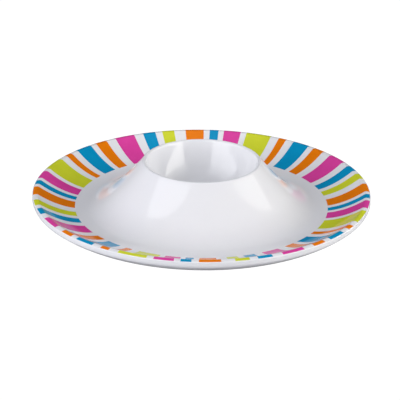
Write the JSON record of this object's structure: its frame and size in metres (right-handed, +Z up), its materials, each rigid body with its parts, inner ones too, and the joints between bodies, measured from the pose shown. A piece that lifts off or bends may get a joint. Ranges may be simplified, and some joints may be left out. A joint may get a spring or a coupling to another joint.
{
  "type": "chip and dip server",
  "caption": "Round one-piece moulded server: a raised dip bowl on a cone in the middle, a chip trough round it and a striped, shallow sloping rim.",
  "frame": {"origin": "centre of the foot ring's underside, on the table, on the server's axis", "axes": "+Z up along the axis of the dip bowl; +Y towards the back; +X to the right seen from the front"},
  "size_m": [0.3312, 0.3312, 0.056],
  "materials": {
    "white_melamine": "glossy",
    "orange_print": "glossy",
    "blue_print": "glossy",
    "pink_print": "glossy",
    "green_print": "glossy"
  },
  "bodies": {
    "root": {"plate_body": "white_melamine", "stripe_1_01_orange": "orange_print", "stripe_1_02_blue": "blue_print", "stripe_1_03_pink": "pink_print", "stripe_1_04_green": "green_print", "stripe_1_05_orange": "orange_print", "stripe_1_06_blue": "blue_print", "stripe_1_07_orange": "orange_print", "stripe_1_08_pink": "pink_print", "stripe_1_09_blue": "blue_print", "stripe_1_10_green": "green_print", "stripe_2_01_orange": "orange_print", "stripe_2_02_blue": "blue_print", "stripe_2_03_pink": "pink_print", "stripe_2_04_green": "green_print", "stripe_2_05_orange": "orange_print", "stripe_2_06_blue": "blue_print", "stripe_2_07_orange": "orange_print", "stripe_2_08_pink": "pink_print", "stripe_2_09_blue": "blue_print", "stripe_2_10_green": "green_print", "stripe_3_01_orange": "orange_print", "stripe_3_02_blue": "blue_print", "stripe_3_03_pink": "pink_print", "stripe_3_04_green": "green_print", "stripe_3_05_orange": "orange_print", "stripe_3_06_blue": "blue_print", "stripe_3_07_orange": "orange_print", "stripe_3_08_pink": "pink_print", "stripe_3_09_blue": "blue_print", "stripe_3_10_green": "green_print", "stripe_4_01_orange": "orange_print", "stripe_4_02_blue": "blue_print", "stripe_4_03_pink": "pink_print", "stripe_4_04_green": "green_print", "stripe_4_05_orange": "orange_print", "stripe_4_06_blue": "blue_print", "stripe_4_07_orange": "orange_print", "stripe_4_08_pink": "pink_print", "stripe_4_09_blue": "blue_print", "stripe_4_10_green": "green_print"}
  },
  "joints": []
}
